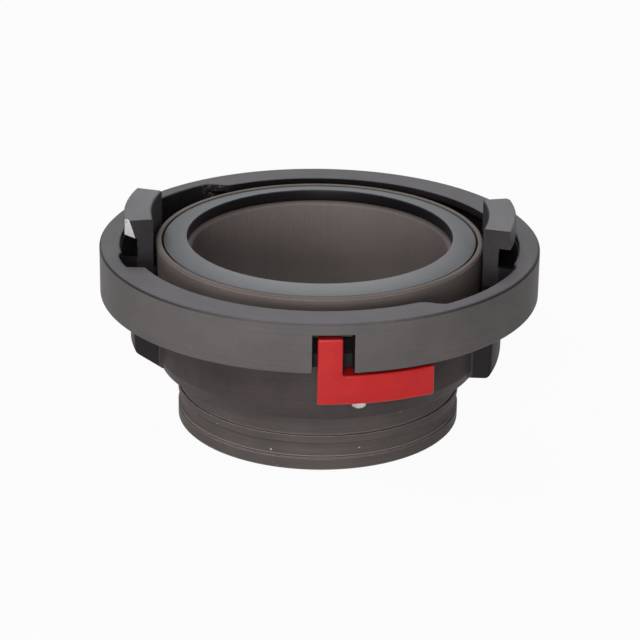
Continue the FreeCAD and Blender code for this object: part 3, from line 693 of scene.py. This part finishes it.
@dataclass(frozen=True)
class TurnedFinish:
    """Brown-grey hard-anodised alloy, turned all over and drawn lengthways in the bore.

    Each pair of tones holds the darker and the lighter tone of one kind of surface. The collar
    and the waterway's wall are given lighter tones than the outside, painted light that makes up
    for the shade inside the ring. Radii, widths and heights are in metres; heights count from
    the tail's end.
    """

    name: str = "brown_anodised_turned"
    outside: Tones = (shade(84, 78, 77), shade(100, 93, 91))
    # Painted light: lighter than the outside, to make up for the shade inside the ring.
    lit_collar: Tones = (shade(110, 101, 98), shade(126, 116, 112))
    # Painted light: the waterway's wall, lighter still for the same reason.
    lit_bore: Tones = (shade(124, 115, 113), shade(139, 129, 127))
    # Light tone for edge wear with a painted edge highlight.
    edge: Colour = shade(188, 175, 168)
    speck: Colour = shade(190, 184, 180)
    metallic: float = 0.03
    gloss: float = 0.04
    roughness: float = 0.42
    roughness_spread: float = 0.14

    blotches: Grain = Grain(34.0, 5.0)
    grains: Grain = Grain(1100.0, 3.0, 0.6)
    tool_marks: Grain = Grain(1.0, 3.0, 0.6, (1800.0, 1.2, 2400.0))
    tone_shares: Shares = (0.4, 0.4, 0.2)
    tone_range: Span = (0.38, 0.62)
    draw_marks: Grain = Grain(1.0, 3.0, 0.5, (300.0, 95.0, 20.0))
    bore_shares: Shares = (0.3, 0.4, 0.3)
    bore_range: Span = (0.34, 0.66)

    collar_foot: float = 0.0655
    bore_radius: float = 0.0568
    edge_width: float = 0.0006
    edge_range: Span = (0.02, 0.14)
    edge_strength: float = 0.65
    specks: Grain = Grain(520.0, 1.0)
    speck_range: Span = (0.76, 0.8)
    speck_top: float = 0.035
    relief_shares: Shares = (0.3, 0.15)
    relief: float = 0.00005

    def build(self) -> bpy.types.Material:
        """Make the material.

        Returns:
            The material.
        """
        hand = Nodes(self.name)
        hand.shader.inputs["Metallic"].default_value = self.metallic
        hand.shader.inputs["Specular IOR Level"].default_value = self.gloss
        blotch, grain, tool_mark, draw_mark = map(
            hand.noise, (self.blotches, self.grains, self.tool_marks, self.draw_marks))
        tone = hand.ramp(hand.blend((blotch, tool_mark, grain), self.tone_shares),
                         *self.tone_range)
        body = hand.mix(tone, *self.outside)
        lit_collar = hand.over(hand.z, self.collar_foot)
        body = hand.mix(lit_collar, body, hand.mix(tone, *self.lit_collar))
        drawn = hand.ramp(hand.blend((draw_mark, blotch, grain), self.bore_shares),
                          *self.bore_range)
        lit_bore = hand.under(hand.radius, self.bore_radius)
        body = hand.mix(lit_bore, body, hand.mix(drawn, *self.lit_bore))
        rounded, sharp = hand.edges(self.edge_width)
        edge_wear_and_highlight = hand.value("MULTIPLY", hand.ramp(sharp, *self.edge_range), self.edge_strength)
        body = hand.mix(edge_wear_and_highlight, body, self.edge)
        speck = hand.every(hand.ramp(hand.noise(self.specks), *self.speck_range),
                           hand.under(hand.z, self.speck_top))
        hand.colour(hand.mix(speck, body, self.speck))
        hand.roughness(hand.spread(grain, self.roughness_spread, self.roughness))
        hand.bump(hand.blend((tool_mark, grain), self.relief_shares), self.relief, rounded)
        return hand.material


@dataclass(frozen=True)
class GasketSection:
    """Sizes of the face gasket in metres, with heights above the tail's end.

    The outline runs from the groove's floor up the outside, over the sloped crown and down the
    lap on the inner wall.
    """

    wall_radius: float = 0.0612
    outer_radius: float = 0.0693
    lap_radius: float = 0.0586
    floor_height: float = 0.0733
    shoulder_height: float = 0.0832
    crown_height: float = 0.0851
    lap_height: float = 0.0798
    outer_bevel: float = 0.0006
    edge_round: float = 0.0004

    def outline(self) -> list[Span]:
        """The gasket's section.

        Returns:
            The corners as distances from the axis and heights.
        """
        return [
            (self.wall_radius, self.floor_height),
            (self.outer_radius, self.floor_height),
            (self.outer_radius, self.shoulder_height - self.outer_bevel),
            (self.outer_radius - self.outer_bevel, self.shoulder_height),
            (self.lap_radius, self.crown_height),
            (self.lap_radius, self.lap_height),
            (self.wall_radius, self.lap_height),
        ]


@dataclass(frozen=True)
class RubberFinish:
    """Slate grey moulded rubber, dusty on top, with painted shade in its darkest tone on the
    inner lap and the outer wall.

    The depths say how far from the section's corners the painted shade begins, in metres.
    """

    name: str = "slate_rubber"
    dark: Colour = shade(44, 49, 56)
    light: Colour = shade(58, 64, 72)
    # Painted shade on the inner lap and the outer wall.
    wall_shade: Colour = shade(15, 12, 15)
    gloss: float = 0.25
    roughness: float = 0.36
    roughness_spread: float = 0.1
    section: GasketSection = GasketSection()
    inner_depth: float = 0.0005
    crown_depth: Span = (0.0002, 0.0008)
    outer_depth: float = 0.0007
    shoulder_depth: float = 0.0001
    blotches: Grain = Grain(60.0, 6.0, 0.6)
    rings: Grain = Grain(1.0, 3.0, 0.6, (1300.0, 1.1, 900.0))
    grains: Grain = Grain(1700.0, 2.0)
    tone_shares: Shares = (0.5, 0.3, 0.2)
    tone_range: Span = (0.38, 0.62)
    relief_shares: Shares = (0.4, 0.3)
    relief: float = 0.00005

    def build(self) -> bpy.types.Material:
        """Make the material.

        Returns:
            The material.
        """
        hand = Nodes(self.name)
        hand.shader.inputs["Specular IOR Level"].default_value = self.gloss
        blotch, ring, grain = map(hand.noise, (self.blotches, self.rings, self.grains))
        tone = hand.ramp(hand.blend((blotch, ring, grain), self.tone_shares), *self.tone_range)
        top = hand.mix(tone, self.dark, self.light)
        section = self.section
        crown = (section.crown_height - depth for depth in self.crown_depth)
        # Painted shade: the inner lap below the crown and the outer wall below the shoulder.
        inside = hand.every(hand.under(hand.radius, section.lap_radius + self.inner_depth),
                            hand.ramp(hand.z, *crown))
        outside = hand.every(hand.over(hand.radius, section.outer_radius - self.outer_depth),
                             hand.under(hand.z, section.shoulder_height - self.shoulder_depth))
        hand.colour(hand.mix(hand.value("MAXIMUM", inside, outside), top, self.wall_shade))
        hand.roughness(hand.spread(grain, self.roughness_spread, self.roughness))
        hand.bump(hand.blend((ring, grain), self.relief_shares), self.relief)
        return hand.material


@dataclass(frozen=True)
class PaintFinish:
    """Satin red paint with its slight orange peel."""

    name: str = "satin_red_paint"
    dark: Colour = shade(180, 27, 28)
    light: Colour = shade(192, 33, 33)
    gloss: float = 0.3
    roughness: float = 0.33
    roughness_spread: float = 0.1
    blotches: Grain = Grain(90.0, 4.0)
    tone_range: Span = (0.35, 0.65)
    peel: Grain = Grain(520.0, 2.0)
    edge_width: float = 0.0004
    relief: float = 0.00006

    def build(self) -> bpy.types.Material:
        """Make the material.

        Returns:
            The material.
        """
        hand = Nodes(self.name)
        hand.shader.inputs["Specular IOR Level"].default_value = self.gloss
        tone = hand.ramp(hand.noise(self.blotches), *self.tone_range)
        hand.colour(hand.mix(tone, self.dark, self.light))
        peel = hand.noise(self.peel)
        hand.roughness(hand.spread(peel, self.roughness_spread, self.roughness))
        rounded, _ = hand.edges(self.edge_width)
        hand.bump(peel, self.relief, rounded)
        return hand.material


@dataclass(frozen=True)
class SteelFinish:
    """Bright steel, drawn or ground along its length."""

    name: str = "bright_steel"
    dark: Colour = shade(176, 172, 170)
    light: Colour = shade(208, 205, 202)
    metallic: float = 1.0
    roughness: float = 0.24
    roughness_spread: float = 0.12
    blotches: Grain = Grain(320.0, 4.0)
    tone_range: Span = (0.35, 0.65)
    scratches: Grain = Grain(900.0, 3.0)
    relief: float = 0.00003

    def build(self) -> bpy.types.Material:
        """Make the material.

        Returns:
            The material.
        """
        hand = Nodes(self.name)
        hand.shader.inputs["Metallic"].default_value = self.metallic
        blotch = hand.noise(self.blotches)
        tone = hand.ramp(blotch, *self.tone_range)
        hand.colour(hand.mix(tone, self.dark, self.light))
        hand.roughness(hand.spread(blotch, self.roughness_spread, self.roughness))
        hand.bump(hand.noise(self.scratches), self.relief)
        return hand.material


def dress(node: str, material: bpy.types.Material) -> None:
    """Give a CAD node its finish.

    Args:
        node: The node's name.
        material: The finish.
    """
    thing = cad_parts[node]
    thing.data.materials.clear()
    thing.data.materials.append(material)
    LOG.info("%s dressed in %s", node, material.name)


@dataclass
class TailAssembly:
    """The turned tailpiece with its face gasket and snap ring.

    The tolerances are in metres and the angle in degrees.
    """

    section: GasketSection = GasketSection()
    steps: int = 240
    bevel_steps: int = 4
    smooth_angle: float = 30.0
    merge_distance: float = 1e-6
    match_distance: float = 1e-5

    def model_gasket(self) -> bpy.types.Object:
        """Spin the gasket's section round the waterway and round its moulded edges.

        Returns:
            The gasket.
        """
        corners_at = self.section.outline()
        bpy.ops.object.select_all(action="DESELECT")
        bpy.ops.mesh.primitive_circle_add(vertices=len(corners_at),
                                          radius=self.section.edge_round)
        gasket = bpy.context.object
        gasket.name = "gasket_moulded"
        for vertex, (radius, height) in zip(gasket.data.vertices, corners_at):
            vertex.co = (radius, 0.0, height)
        bpy.ops.object.mode_set(mode="EDIT")
        bpy.ops.mesh.select_all(action="SELECT")
        bpy.ops.mesh.spin(steps=self.steps, angle=math.tau, center=(0.0, 0.0, 0.0),
                          axis=(0.0, 0.0, 1.0))
        bpy.ops.mesh.select_all(action="SELECT")
        bpy.ops.mesh.remove_doubles(threshold=self.merge_distance)
        bpy.ops.mesh.normals_make_consistent(inside=False)
        bpy.ops.object.mode_set(mode="OBJECT")
        self.round_edges(gasket)
        bpy.ops.object.shade_smooth_by_angle(angle=math.radians(self.smooth_angle))
        return gasket

    def round_edges(self, gasket: bpy.types.Object) -> None:
        """Round both edges of the lap, the one at the crown and the one at its foot.

        Args:
            gasket: The spun gasket.
        """
        lap = self.section.lap_radius
        places = [(lap, self.section.crown_height), (lap, self.section.lap_height)]
        bpy.ops.object.mode_set(mode="EDIT")
        bpy.ops.mesh.select_all(action="DESELECT")
        bpy.ops.mesh.select_mode(type="EDGE")
        bpy.ops.object.mode_set(mode="OBJECT")
        points = gasket.data.vertices
        for edge in gasket.data.edges:
            ends = [points[index].co for index in edge.vertices]
            edge.select = any(
                all(abs(math.hypot(end.x, end.y) - radius) < self.match_distance
                    and abs(end.z - height) < self.match_distance for end in ends)
                for radius, height in places
            )
        bpy.ops.object.mode_set(mode="EDIT")
        bpy.ops.mesh.bevel(offset=self.section.edge_round, segments=self.bevel_steps,
                           affect="EDGES")
        bpy.ops.object.mode_set(mode="OBJECT")

    def build(self, turned: bpy.types.Material, rubber: bpy.types.Material,
              steel: bpy.types.Material) -> None:
        """Model the gasket and dress the tail's pieces.

        Args:
            turned: Finish of the tailpiece.
            rubber: Finish of the gasket.
            steel: Finish of the snap ring.
        """
        dress("tailpiece", turned)
        dress("pressure_gasket", rubber)
        dress("snap_ring", steel)
        gasket = self.model_gasket()
        gasket.data.materials.append(rubber)
        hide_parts("pressure_gasket")
        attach(gasket, Body.TAIL.value)
        LOG.info("gasket modelled with %d faces", len(gasket.data.polygons))


@dataclass
class LockRing:
    """The turning ring: one casting with its hooks, lip and spanner lugs."""

    node: str = "lock_ring"

    def build(self, cast: bpy.types.Material) -> None:
        """Dress the casting.

        Args:
            cast: Finish of the casting.
        """
        dress(self.node, cast)


@dataclass
class LeverSpring:
    """The coil spring under the lever's arm, which gives way between its two seats.

    Lengths are in metres and angles in degrees. The first angle is that of the spring's axis
    about the waterway.
    """

    node: str = "lever_spring"
    seat_radius: float = 0.07237
    length: float = 0.02076
    angle: float = -64.6
    height: float = 0.05245
    coil_radius: float = 0.00345
    wire_radius: float = 0.00055
    turns: int = 7
    steps_a_turn: int = 24
    wire_corners: int = 10
    seat_depth: float = 0.0012
    pocket_depth: float = 0.0032
    smooth_angle: float = 45.0

    def at(self, outward: float) -> Vector:
        """A point on the spring's axis.

        Args:
            outward: Its distance from the inner end.

        Returns:
            The point.
        """
        turn = math.radians(self.angle)
        reach = self.seat_radius + outward
        return Vector((reach * math.cos(turn), reach * math.sin(turn), self.height))

    def model(self) -> bpy.types.Object:
        """Wind the wire and lay the coil along its axis.

        Returns:
            The spring.
        """
        bpy.ops.object.select_all(action="DESELECT")
        bpy.ops.mesh.primitive_circle_add(vertices=self.wire_corners, radius=self.wire_radius,
                                          location=(self.coil_radius, 0.0, self.wire_radius),
                                          rotation=(QUARTER_TURN, 0.0, 0.0))
        coil = bpy.context.object
        coil.name = "spring_coil"
        bpy.ops.object.transform_apply(location=True, rotation=True, scale=True)
        bpy.ops.object.modifier_add(type="SCREW")
        winding = coil.modifiers[-1]
        winding.angle = math.tau * self.turns
        winding.screw_offset = self.length - 2 * self.wire_radius
        winding.steps = winding.render_steps = self.turns * self.steps_a_turn
        bpy.ops.object.modifier_apply(modifier=winding.name)
        bpy.ops.object.mode_set(mode="EDIT")
        bpy.ops.mesh.select_all(action="SELECT")
        bpy.ops.mesh.fill_holes(sides=0)
        bpy.ops.mesh.select_all(action="SELECT")
        bpy.ops.mesh.normals_make_consistent(inside=False)
        bpy.ops.object.mode_set(mode="OBJECT")
        coil.rotation_euler = (0.0, QUARTER_TURN, math.radians(self.angle))
        coil.location = self.at(0.0)
        bpy.ops.object.transform_apply(location=True, rotation=True, scale=True)
        bpy.ops.object.shade_smooth_by_angle(angle=math.radians(self.smooth_angle))
        return coil

    def build(self, steel: bpy.types.Material) -> None:
        """Model the spring at its seats and hide the CAD node in its place.

        Args:
            steel: Finish of the spring.
        """
        dress(self.node, steel)
        coil = self.model()
        coil.data.materials.append(steel)
        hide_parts(self.node)
        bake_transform(coil)
        LOG.info("spring wound with %d faces", len(coil.data.polygons))


@dataclass
class LockLever:
    """The locking lever with its pin and spring."""

    lever: str = "lock_lever"
    pin: str = "lever_pin"
    spring: LeverSpring = field(default_factory=LeverSpring)

    def build(self, paint: bpy.types.Material, steel: bpy.types.Material) -> None:
        """Dress the lever and its pin, and make its spring.

        Args:
            paint: Finish of the lever.
            steel: Finish of the pin and the spring.
        """
        dress(self.lever, paint)
        dress(self.pin, steel)
        self.spring.build(steel)


@dataclass
class PhotoCamera:
    """The camera at the photograph's place.

    Angles are in degrees, the lens and the sensor in millimetres, the rest in metres.
    """

    elevation: float = 22.436
    roll: float = -0.7226
    distance: float = 1.164
    lens: float = 146.507
    sensor: float = 36.0
    nearest: float = 0.01
    aim_x: float = 0.00055
    aim_below_face: float = 0.038136

    def build(self) -> bpy.types.Object:
        """Place the camera and make it the scene's.

        Returns:
            The camera object.
        """
        tilt = math.radians(self.elevation)
        turn = math.radians(self.roll)
        forward = Vector((0.0, math.cos(tilt), -math.sin(tilt)))
        upward = Vector((0.0, math.sin(tilt), math.cos(tilt)))
        right = Vector((1.0, 0.0, 0.0))
        aim = Vector((self.aim_x, 0.0, FACE - self.aim_below_face))
        across = right * math.cos(turn) - upward * math.sin(turn)
        above = right * math.sin(turn) + upward * math.cos(turn)
        turned = Matrix((across, above, -forward)).transposed().to_4x4()
        data = bpy.data.cameras.new("photo_camera")
        data.lens = self.lens
        data.sensor_width = self.sensor
        data.clip_start = self.nearest
        camera = bpy.data.objects.new("photo_camera", data)
        bpy.context.scene.collection.objects.link(camera)
        camera.matrix_world = Matrix.Translation(aim - forward * self.distance) @ turned
        bpy.context.scene.camera = camera
        return camera


@dataclass(frozen=True)
class Lamp:
    """A square soft lamp that looks at the coupling.

    The azimuth runs from the camera's side towards the right, in degrees. Lengths are in metres
    and the power in watts.
    """

    name: str
    azimuth: float
    elevation: float
    power: float
    distance: float = 1.5
    size: float = 0.5
    aim_height: float = 0.05

    def build(self) -> bpy.types.Object:
        """Hang the lamp.

        Returns:
            The lamp.
        """
        turn = math.radians(self.azimuth)
        rise = math.radians(self.elevation)
        aim = Vector((0.0, 0.0, self.aim_height))
        away = Vector((math.sin(turn) * math.cos(rise), -math.cos(turn) * math.cos(rise),
                       math.sin(rise)))
        data = bpy.data.lights.new(self.name, "AREA")
        data.shape = "SQUARE"
        data.size = self.size
        data.energy = self.power
        lamp = bpy.data.objects.new(self.name, data)
        lamp.location = aim + away * self.distance
        lamp.rotation_euler = (-away).to_track_quat("-Z", "Y").to_euler()
        bpy.context.scene.collection.objects.link(lamp)
        return lamp


@dataclass
class Studio:
    """Pale floor, white surroundings and soft lamps."""

    floor_size: float = 6.0
    floor_drop: float = 0.0002
    floor_colour: float = 0.8
    floor_white: float = 0.95
    soft_world: float = 0.05
    lamps: list[Lamp] = field(default_factory=lambda: [
        Lamp("key_front", -4.0, 38.0, 5.2),
        Lamp("high_left", -75.0, 38.0, 4.0),
        Lamp("low_front", -6.0, 8.0, 11.0),
        Lamp("back", 180.0, 38.0, 5.4),
    ])

    def build(self) -> None:
        """Make the floor, the world and the lamps."""
        self.build_floor()
        self.build_world()
        for lamp in self.lamps:
            lamp.build()
        LOG.info("studio lit by %d lamps", len(self.lamps))

    @staticmethod
    def seen(tree: bpy.types.NodeTree) -> Node:
        """A node that is 1 for what the camera, a reflection or a clear piece shows.

        Args:
            tree: The material's or the world's nodes.

        Returns:
            The node.
        """
        rays = tree.nodes.new("ShaderNodeLightPath")
        result = None
        for name in ("Is Glossy Ray", "Is Transmission Ray"):
            either = tree.nodes.new("ShaderNodeMath")
            either.operation = "MAXIMUM"
            source = rays.outputs["Is Camera Ray"] if result is None else result.outputs[0]
            tree.links.new(source, either.inputs[0])
            tree.links.new(rays.outputs[name], either.inputs[1])
            result = either
        return result

    def build_floor(self) -> None:
        """A pale floor that stays white to the camera and keeps a soft shadow."""
        bpy.ops.object.select_all(action="DESELECT")
        bpy.ops.mesh.primitive_plane_add(size=self.floor_size,
                                         location=(0.0, 0.0, -self.floor_drop))
        floor = bpy.context.object
        floor.name = "floor"
        material = bpy.data.materials.new("pale_floor")
        material.use_nodes = True
        tree = material.node_tree
        tree.nodes.clear()
        output = tree.nodes.new("ShaderNodeOutputMaterial")
        diffuse = tree.nodes.new("ShaderNodeBsdfDiffuse")
        diffuse.inputs["Color"].default_value = (*(self.floor_colour,) * 3, 1.0)
        glow = tree.nodes.new("ShaderNodeEmission")
        glow.inputs["Strength"].default_value = 1.0
        mixer = tree.nodes.new("ShaderNodeMixShader")
        share = tree.nodes.new("ShaderNodeMath")
        share.operation = "MULTIPLY"
        share.inputs[1].default_value = self.floor_white
        tree.links.new(self.seen(tree).outputs[0], share.inputs[0])
        tree.links.new(share.outputs[0], mixer.inputs[0])
        tree.links.new(diffuse.outputs[0], mixer.inputs[1])
        tree.links.new(glow.outputs[0], mixer.inputs[2])
        tree.links.new(mixer.outputs[0], output.inputs["Surface"])
        floor.data.materials.append(material)

    def build_world(self) -> None:
        """White to the camera and in reflections, softer as a light."""
        world = bpy.data.worlds.new("studio")
        bpy.context.scene.world = world
        world.use_nodes = True
        tree = world.node_tree
        tree.nodes.clear()
        output = tree.nodes.new("ShaderNodeOutputWorld")
        background = tree.nodes.new("ShaderNodeBackground")
        background.inputs["Color"].default_value = (1.0, 1.0, 1.0, 1.0)
        level = tree.nodes.new("ShaderNodeMapRange")
        level.inputs["To Min"].default_value = self.soft_world
        level.inputs["To Max"].default_value = 1.0
        tree.links.new(self.seen(tree).outputs[0], level.inputs["Value"])
        tree.links.new(level.outputs[0], background.inputs["Strength"])
        tree.links.new(background.outputs[0], output.inputs["Surface"])


def main() -> None:
    """Build the scene."""
    logging.basicConfig(level=logging.INFO, format="%(name)s: %(message)s")
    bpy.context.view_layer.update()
    bpy.context.scene.view_settings.view_transform = "Standard"
    steel = SteelFinish().build()
    TailAssembly().build(TurnedFinish().build(), RubberFinish().build(), steel)
    LockRing().build(CastFinish().build())
    LockLever().build(PaintFinish().build(), steel)
    Studio().build()
    PhotoCamera().build()


if __name__ == "__main__":
    main()
